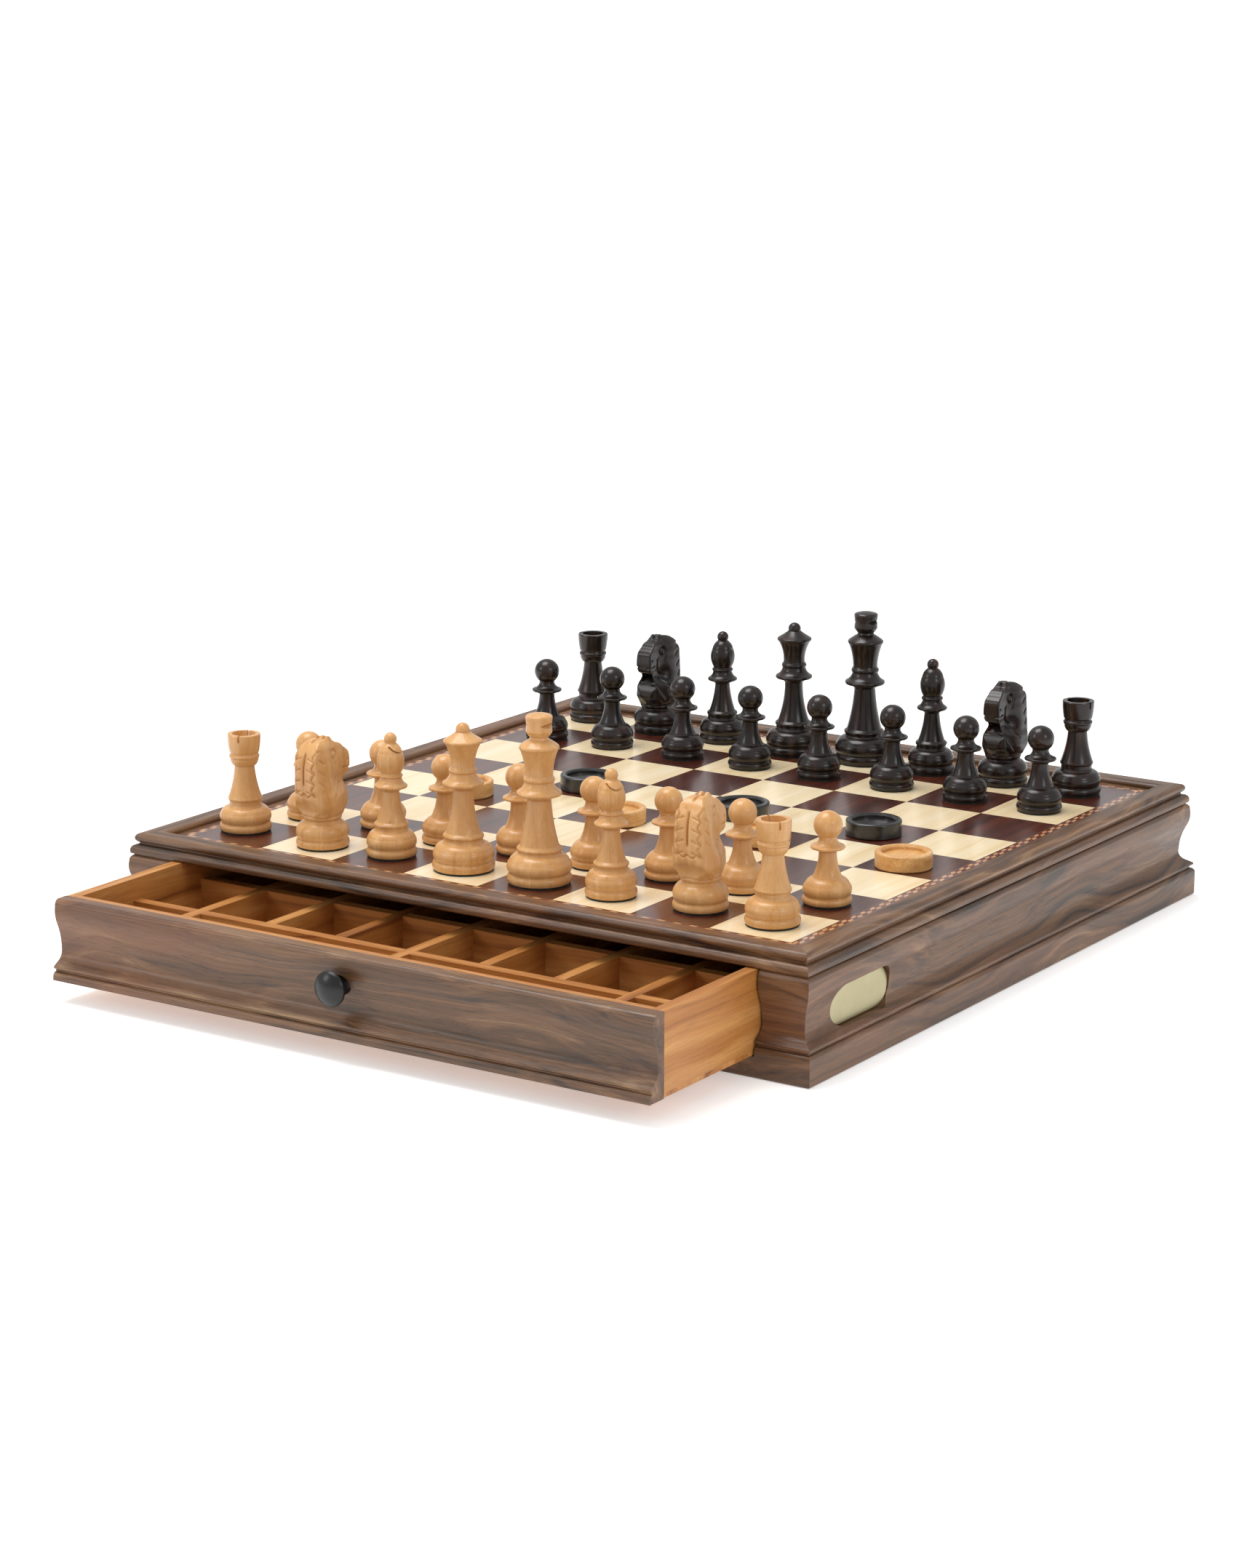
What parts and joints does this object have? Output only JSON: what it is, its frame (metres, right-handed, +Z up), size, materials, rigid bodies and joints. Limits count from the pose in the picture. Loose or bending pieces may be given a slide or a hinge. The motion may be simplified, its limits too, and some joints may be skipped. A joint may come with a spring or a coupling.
{
  "type": "chess set with board",
  "caption": "Chess and draughts set on an inlaid walnut board case with a partitioned drawer that slides out of its front; every piece lifts off.",
  "frame": {"origin": "centre of the case's underside", "axes": "+Z up; the drawer opens towards -Y; +X to the right seen from the drawer side"},
  "size_m": [0.404, 0.4978, 0.1425],
  "materials": {
    "walnut": "satin",
    "maple_veneer": "gloss",
    "red_veneer": "gloss",
    "mosaic_veneer": "gloss",
    "panel_wood": "matte",
    "cherry": "satin",
    "boxwood": "satin",
    "ebonised": "gloss",
    "brass": "satin",
    "black_knob": "gloss",
    "steel": "satin",
    "dark_felt": "matte"
  },
  "bodies": {
    "case": {"bottom_panel": "panel_wood", "side_walls": "walnut", "back_wall": "walnut", "front_stiles": "walnut", "front_rail": "walnut", "drawer_runners": "panel_wood", "top_frame": "walnut", "board_panel": "panel_wood", "light_squares": "maple_veneer", "dark_squares": "red_veneer", "mosaic_inlay": "mosaic_veneer", "walnut_border": "walnut", "brass_plate": "brass"},
    "drawer": {"drawer_front": "walnut", "drawer_bottom": "cherry", "drawer_sides": "cherry", "drawer_ends": "cherry", "long_dividers": "cherry", "cross_dividers": "cherry", "knob": "black_knob", "knob_screw": "steel"},
    "light_rook_a1": {"light_rook_a1": "boxwood"},
    "light_pawn_a2": {"light_pawn_a2": "boxwood"},
    "dark_pawn_a7": {"dark_pawn_a7": "ebonised"},
    "dark_rook_a8": {"dark_rook_a8": "ebonised"},
    "light_knight_b1": {"light_knight_b1": "boxwood"},
    "light_pawn_b2": {"light_pawn_b2": "boxwood"},
    "dark_pawn_b7": {"dark_pawn_b7": "ebonised"},
    "dark_knight_b8": {"dark_knight_b8": "ebonised"},
    "light_bishop_c1": {"light_bishop_c1": "boxwood"},
    "light_pawn_c2": {"light_pawn_c2": "boxwood"},
    "dark_pawn_c7": {"dark_pawn_c7": "ebonised"},
    "dark_bishop_c8": {"dark_bishop_c8": "ebonised"},
    "light_queen_d1": {"light_queen_d1": "boxwood"},
    "light_pawn_d2": {"light_pawn_d2": "boxwood"},
    "dark_pawn_d7": {"dark_pawn_d7": "ebonised"},
    "dark_queen_d8": {"dark_queen_d8": "ebonised"},
    "light_king_e1": {"light_king_e1": "boxwood"},
    "light_pawn_e2": {"light_pawn_e2": "boxwood"},
    "dark_pawn_e7": {"dark_pawn_e7": "ebonised"},
    "dark_king_e8": {"dark_king_e8": "ebonised"},
    "light_bishop_f1": {"light_bishop_f1": "boxwood"},
    "light_pawn_f2": {"light_pawn_f2": "boxwood"},
    "dark_pawn_f7": {"dark_pawn_f7": "ebonised"},
    "dark_bishop_f8": {"dark_bishop_f8": "ebonised"},
    "light_knight_g1": {"light_knight_g1": "boxwood"},
    "light_pawn_g2": {"light_pawn_g2": "boxwood"},
    "dark_pawn_g7": {"dark_pawn_g7": "ebonised"},
    "dark_knight_g8": {"dark_knight_g8": "ebonised"},
    "light_rook_h1": {"light_rook_h1": "boxwood"},
    "light_pawn_h2": {"light_pawn_h2": "boxwood"},
    "dark_pawn_h7": {"dark_pawn_h7": "ebonised"},
    "dark_rook_h8": {"dark_rook_h8": "ebonised"},
    "light_draught_b4": {"light_draught_b4": "boxwood"},
    "light_draught_d4": {"light_draught_d4": "boxwood"},
    "light_draught_f4": {"light_draught_f4": "boxwood"},
    "light_draught_h4": {"light_draught_h4": "boxwood"},
    "dark_draught_c5": {"dark_draught_c5": "ebonised"},
    "dark_draught_e5": {"dark_draught_e5": "ebonised"},
    "dark_draught_g5": {"dark_draught_g5": "ebonised"}
  },
  "joints": [
    {"name": "drawer_slide", "type": "slide", "parent": "case", "child": "drawer", "axis": [0, -1, 0], "range_m": [-0.086, 0.134]},
    {"name": "lift_light_rook_a1", "type": "slide", "parent": "case", "child": "light_rook_a1", "axis": [0, 0, 1], "range_m": [0, 0.1]},
    {"name": "lift_light_pawn_a2", "type": "slide", "parent": "case", "child": "light_pawn_a2", "axis": [0, 0, 1], "range_m": [0, 0.1]},
    {"name": "lift_dark_pawn_a7", "type": "slide", "parent": "case", "child": "dark_pawn_a7", "axis": [0, 0, 1], "range_m": [0, 0.1]},
    {"name": "lift_dark_rook_a8", "type": "slide", "parent": "case", "child": "dark_rook_a8", "axis": [0, 0, 1], "range_m": [0, 0.1]},
    {"name": "lift_light_knight_b1", "type": "slide", "parent": "case", "child": "light_knight_b1", "axis": [0, 0, 1], "range_m": [0, 0.1]},
    {"name": "lift_light_pawn_b2", "type": "slide", "parent": "case", "child": "light_pawn_b2", "axis": [0, 0, 1], "range_m": [0, 0.1]},
    {"name": "lift_dark_pawn_b7", "type": "slide", "parent": "case", "child": "dark_pawn_b7", "axis": [0, 0, 1], "range_m": [0, 0.1]},
    {"name": "lift_dark_knight_b8", "type": "slide", "parent": "case", "child": "dark_knight_b8", "axis": [0, 0, 1], "range_m": [0, 0.1]},
    {"name": "lift_light_bishop_c1", "type": "slide", "parent": "case", "child": "light_bishop_c1", "axis": [0, 0, 1], "range_m": [0, 0.1]},
    {"name": "lift_light_pawn_c2", "type": "slide", "parent": "case", "child": "light_pawn_c2", "axis": [0, 0, 1], "range_m": [0, 0.1]},
    {"name": "lift_dark_pawn_c7", "type": "slide", "parent": "case", "child": "dark_pawn_c7", "axis": [0, 0, 1], "range_m": [0, 0.1]},
    {"name": "lift_dark_bishop_c8", "type": "slide", "parent": "case", "child": "dark_bishop_c8", "axis": [0, 0, 1], "range_m": [0, 0.1]},
    {"name": "lift_light_queen_d1", "type": "slide", "parent": "case", "child": "light_queen_d1", "axis": [0, 0, 1], "range_m": [0, 0.1]},
    {"name": "lift_light_pawn_d2", "type": "slide", "parent": "case", "child": "light_pawn_d2", "axis": [0, 0, 1], "range_m": [0, 0.1]},
    {"name": "lift_dark_pawn_d7", "type": "slide", "parent": "case", "child": "dark_pawn_d7", "axis": [0, 0, 1], "range_m": [0, 0.1]},
    {"name": "lift_dark_queen_d8", "type": "slide", "parent": "case", "child": "dark_queen_d8", "axis": [0, 0, 1], "range_m": [0, 0.1]},
    {"name": "lift_light_king_e1", "type": "slide", "parent": "case", "child": "light_king_e1", "axis": [0, 0, 1], "range_m": [0, 0.1]},
    {"name": "lift_light_pawn_e2", "type": "slide", "parent": "case", "child": "light_pawn_e2", "axis": [0, 0, 1], "range_m": [0, 0.1]},
    {"name": "lift_dark_pawn_e7", "type": "slide", "parent": "case", "child": "dark_pawn_e7", "axis": [0, 0, 1], "range_m": [0, 0.1]},
    {"name": "lift_dark_king_e8", "type": "slide", "parent": "case", "child": "dark_king_e8", "axis": [0, 0, 1], "range_m": [0, 0.1]},
    {"name": "lift_light_bishop_f1", "type": "slide", "parent": "case", "child": "light_bishop_f1", "axis": [0, 0, 1], "range_m": [0, 0.1]},
    {"name": "lift_light_pawn_f2", "type": "slide", "parent": "case", "child": "light_pawn_f2", "axis": [0, 0, 1], "range_m": [0, 0.1]},
    {"name": "lift_dark_pawn_f7", "type": "slide", "parent": "case", "child": "dark_pawn_f7", "axis": [0, 0, 1], "range_m": [0, 0.1]},
    {"name": "lift_dark_bishop_f8", "type": "slide", "parent": "case", "child": "dark_bishop_f8", "axis": [0, 0, 1], "range_m": [0, 0.1]},
    {"name": "lift_light_knight_g1", "type": "slide", "parent": "case", "child": "light_knight_g1", "axis": [0, 0, 1], "range_m": [0, 0.1]},
    {"name": "lift_light_pawn_g2", "type": "slide", "parent": "case", "child": "light_pawn_g2", "axis": [0, 0, 1], "range_m": [0, 0.1]},
    {"name": "lift_dark_pawn_g7", "type": "slide", "parent": "case", "child": "dark_pawn_g7", "axis": [0, 0, 1], "range_m": [0, 0.1]},
    {"name": "lift_dark_knight_g8", "type": "slide", "parent": "case", "child": "dark_knight_g8", "axis": [0, 0, 1], "range_m": [0, 0.1]},
    {"name": "lift_light_rook_h1", "type": "slide", "parent": "case", "child": "light_rook_h1", "axis": [0, 0, 1], "range_m": [0, 0.1]},
    {"name": "lift_light_pawn_h2", "type": "slide", "parent": "case", "child": "light_pawn_h2", "axis": [0, 0, 1], "range_m": [0, 0.1]},
    {"name": "lift_dark_pawn_h7", "type": "slide", "parent": "case", "child": "dark_pawn_h7", "axis": [0, 0, 1], "range_m": [0, 0.1]},
    {"name": "lift_dark_rook_h8", "type": "slide", "parent": "case", "child": "dark_rook_h8", "axis": [0, 0, 1], "range_m": [0, 0.1]},
    {"name": "lift_light_draught_b4", "type": "slide", "parent": "case", "child": "light_draught_b4", "axis": [0, 0, 1], "range_m": [0, 0.1]},
    {"name": "lift_light_draught_d4", "type": "slide", "parent": "case", "child": "light_draught_d4", "axis": [0, 0, 1], "range_m": [0, 0.1]},
    {"name": "lift_light_draught_f4", "type": "slide", "parent": "case", "child": "light_draught_f4", "axis": [0, 0, 1], "range_m": [0, 0.1]},
    {"name": "lift_light_draught_h4", "type": "slide", "parent": "case", "child": "light_draught_h4", "axis": [0, 0, 1], "range_m": [0, 0.1]},
    {"name": "lift_dark_draught_c5", "type": "slide", "parent": "case", "child": "dark_draught_c5", "axis": [0, 0, 1], "range_m": [0, 0.1]},
    {"name": "lift_dark_draught_e5", "type": "slide", "parent": "case", "child": "dark_draught_e5", "axis": [0, 0, 1], "range_m": [0, 0.1]},
    {"name": "lift_dark_draught_g5", "type": "slide", "parent": "case", "child": "dark_draught_g5", "axis": [0, 0, 1], "range_m": [0, 0.1]}
  ]
}
